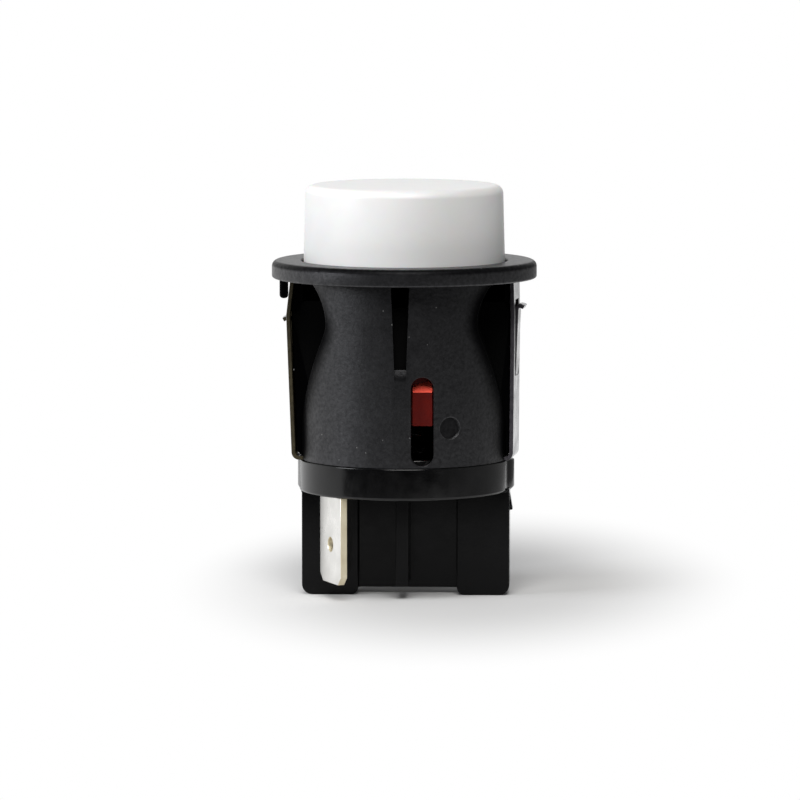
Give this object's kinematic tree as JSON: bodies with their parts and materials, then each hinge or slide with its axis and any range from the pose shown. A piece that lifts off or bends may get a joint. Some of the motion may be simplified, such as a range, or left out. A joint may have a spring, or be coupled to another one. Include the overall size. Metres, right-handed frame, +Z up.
{
  "type": "pushbutton light switch",
  "caption": "Round snap-in pushbutton switch: white cap in a black flanged barrel, side spring clips, blade terminals below, push-push latch inside.",
  "frame": {"origin": "on the button's axis, in the plane of the feet it stands on", "axes": "+Z up along the button's axis, -Y to the front with the slot that shows the plunger, +X to the right clip"},
  "size_m": [0.03, 0.03, 0.0465],
  "materials": {
    "housing_plastic": "fine spark-eroded black moulding",
    "base_plastic": "smooth black moulding",
    "cap_plastic": "white satin moulding",
    "plunger_plastic": "red moulding",
    "terminal_brass": "tinned, bare brass at the cut edges",
    "contact_metal": "silver-faced",
    "bridge_metal": "copper",
    "spring_steel": "drawn wire and strip",
    "clip_steel": "rolled strip"
  },
  "bodies": {
    "body": {"housing": "housing_plastic", "base": "base_plastic", "left_clip": "clip_steel", "right_clip": "clip_steel", "front_terminal": "terminal_brass", "rear_terminal": "terminal_brass", "front_fixed_contact": "contact_metal", "rear_fixed_contact": "contact_metal", "return_spring": "spring_steel", "latch_spring": "spring_steel"},
    "button": {"button_cap": "cap_plastic", "plunger": "plunger_plastic", "contact_spring": "spring_steel"},
    "bridge": {"contact_bridge": "bridge_metal", "front_bridge_contact": "contact_metal", "rear_bridge_contact": "contact_metal"},
    "latch": {"latch_pin": "spring_steel"}
  },
  "joints": [
    {"name": "button_press", "type": "slide", "parent": "body", "child": "button", "axis": [0, 0, -1], "range_m": [0, 0.0032], "stiffness_N_per_m": 500, "springref_m": -0.004, "deforming": ["return_spring"]},
    {"name": "bridge_lift", "type": "slide", "parent": "button", "child": "bridge", "axis": [0, 0, 1], "range_m": [0, 0.001], "deforming": ["contact_spring"]},
    {"name": "latch_swing", "type": "hinge", "parent": "body", "child": "latch", "pos_m": [0, 0, 0.0145], "axis": [-1, 0, 0], "range_deg": [0, 14.3]}
  ],
  "couplings": [
    {"joint": "bridge_lift", "follows": "button_press", "ratio": 0.3125}
  ]
}
